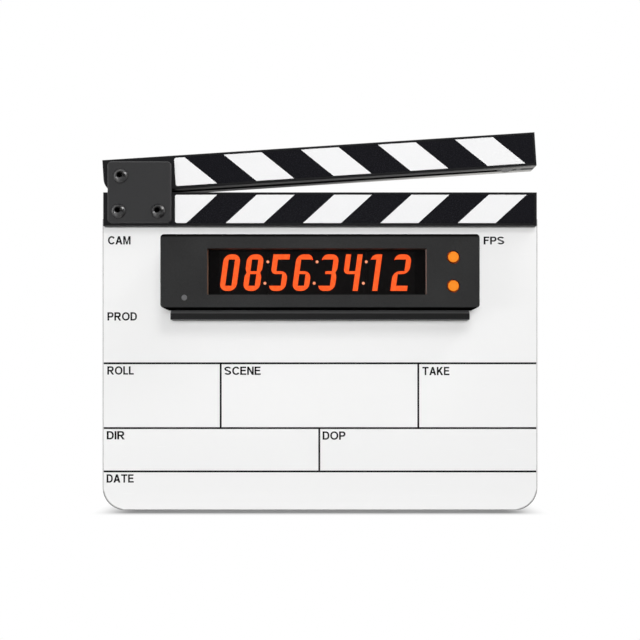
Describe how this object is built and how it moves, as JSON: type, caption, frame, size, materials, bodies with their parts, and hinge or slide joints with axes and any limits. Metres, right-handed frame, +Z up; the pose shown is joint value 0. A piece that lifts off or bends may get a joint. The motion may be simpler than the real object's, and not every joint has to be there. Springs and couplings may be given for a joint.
{
  "type": "timecode slate",
  "caption": "Clapperboard with a white acrylic board, black and white striped clapper sticks on a bolted hinge, and an orange digit timecode display bar.",
  "frame": {"origin": "middle of the board's bottom edge, halfway through its thickness", "axes": "+X to the right along the board seen from the front, +Y from the front face to the back, +Z up"},
  "size_m": [0.3, 0.0372, 0.2591],
  "materials": {
    "white_acrylic": "smooth glossy sheet with printed lines",
    "black_anodised": "black anodised, satin",
    "stripe_print": "white sheet printed with black diagonal stripes",
    "hinge_plate_grey": "dark grey anodised, bead blasted",
    "black_steel": "black oxide, slightly oily sheen",
    "zinc_steel": "bright zinc plated",
    "magnet_nickel": "dark nickel plated",
    "nylon": "natural nylon",
    "bronze": "sintered bronze",
    "brass_insert": "knurled brass",
    "housing_charcoal": "fine grained charcoal moulding",
    "holder_charcoal": "black anodised extrusion",
    "window_tint": "dark tinted acrylic, polished",
    "digit_face": "black module face with lit segments",
    "circuit_green": "solder resist",
    "battery_foil": "silver pouch foil",
    "key_orange": "orange moulded key",
    "switch_black": "black switch moulding",
    "light_guide": "frosted grey light guide",
    "sensor_black": "chip package",
    "socket_steel": "stamped steel shell",
    "jack_black": "black moulded jack"
  },
  "bodies": {
    "slate": {"slate_board": "white_acrylic", "lower_stick": "black_anodised", "lower_stripe_inlay": "stripe_print", "lower_magnet": "magnet_nickel", "board_screws": "zinc_steel", "hinge_front_plate": "hinge_plate_grey", "hinge_rear_plate": "hinge_plate_grey", "pivot_screw": "black_steel", "pivot_nut": "zinc_steel", "pivot_washers": "nylon", "plate_screws": "black_steel", "plate_nuts": "zinc_steel", "display_holder": "holder_charcoal", "holder_screws": "zinc_steel", "display_screws": "zinc_steel", "display_inserts": "brass_insert", "front_housing": "housing_charcoal", "rear_cover": "housing_charcoal", "housing_screws": "black_steel", "display_window": "window_tint", "digit_modules": "digit_face", "circuit_board": "circuit_green", "radio_module": "socket_steel", "processor_chip": "sensor_black", "battery_pack": "battery_foil", "button_switches": "switch_black", "light_pipe": "light_guide", "light_sensor": "sensor_black", "usb_socket": "socket_steel", "timecode_jack": "jack_black"},
    "clapper": {"upper_stick": "black_anodised", "upper_stripe_inlay": "stripe_print", "groove_insert": "jack_black", "groove_insert_screw": "black_steel", "upper_magnet": "magnet_nickel", "pivot_bush": "bronze"},
    "upper_key": {"upper_button": "key_orange", "upper_switch_plunger": "switch_black"},
    "lower_key": {"lower_button": "key_orange", "lower_switch_plunger": "switch_black"}
  },
  "joints": [
    {"name": "clapper_hinge", "type": "hinge", "parent": "slate", "child": "clapper", "pos_m": [-0.1351, 0, 0.22795], "axis": [0, -1, 0], "range_deg": [-3.7, 54]},
    {"name": "upper_key_press", "type": "slide", "parent": "slate", "child": "upper_key", "axis": [0, 1, 0], "range_m": [0, 0.0006], "stiffness_N_per_m": 700, "springref_m": -0.0004},
    {"name": "lower_key_press", "type": "slide", "parent": "slate", "child": "lower_key", "axis": [0, 1, 0], "range_m": [0, 0.0006], "stiffness_N_per_m": 700, "springref_m": -0.0004}
  ]
}
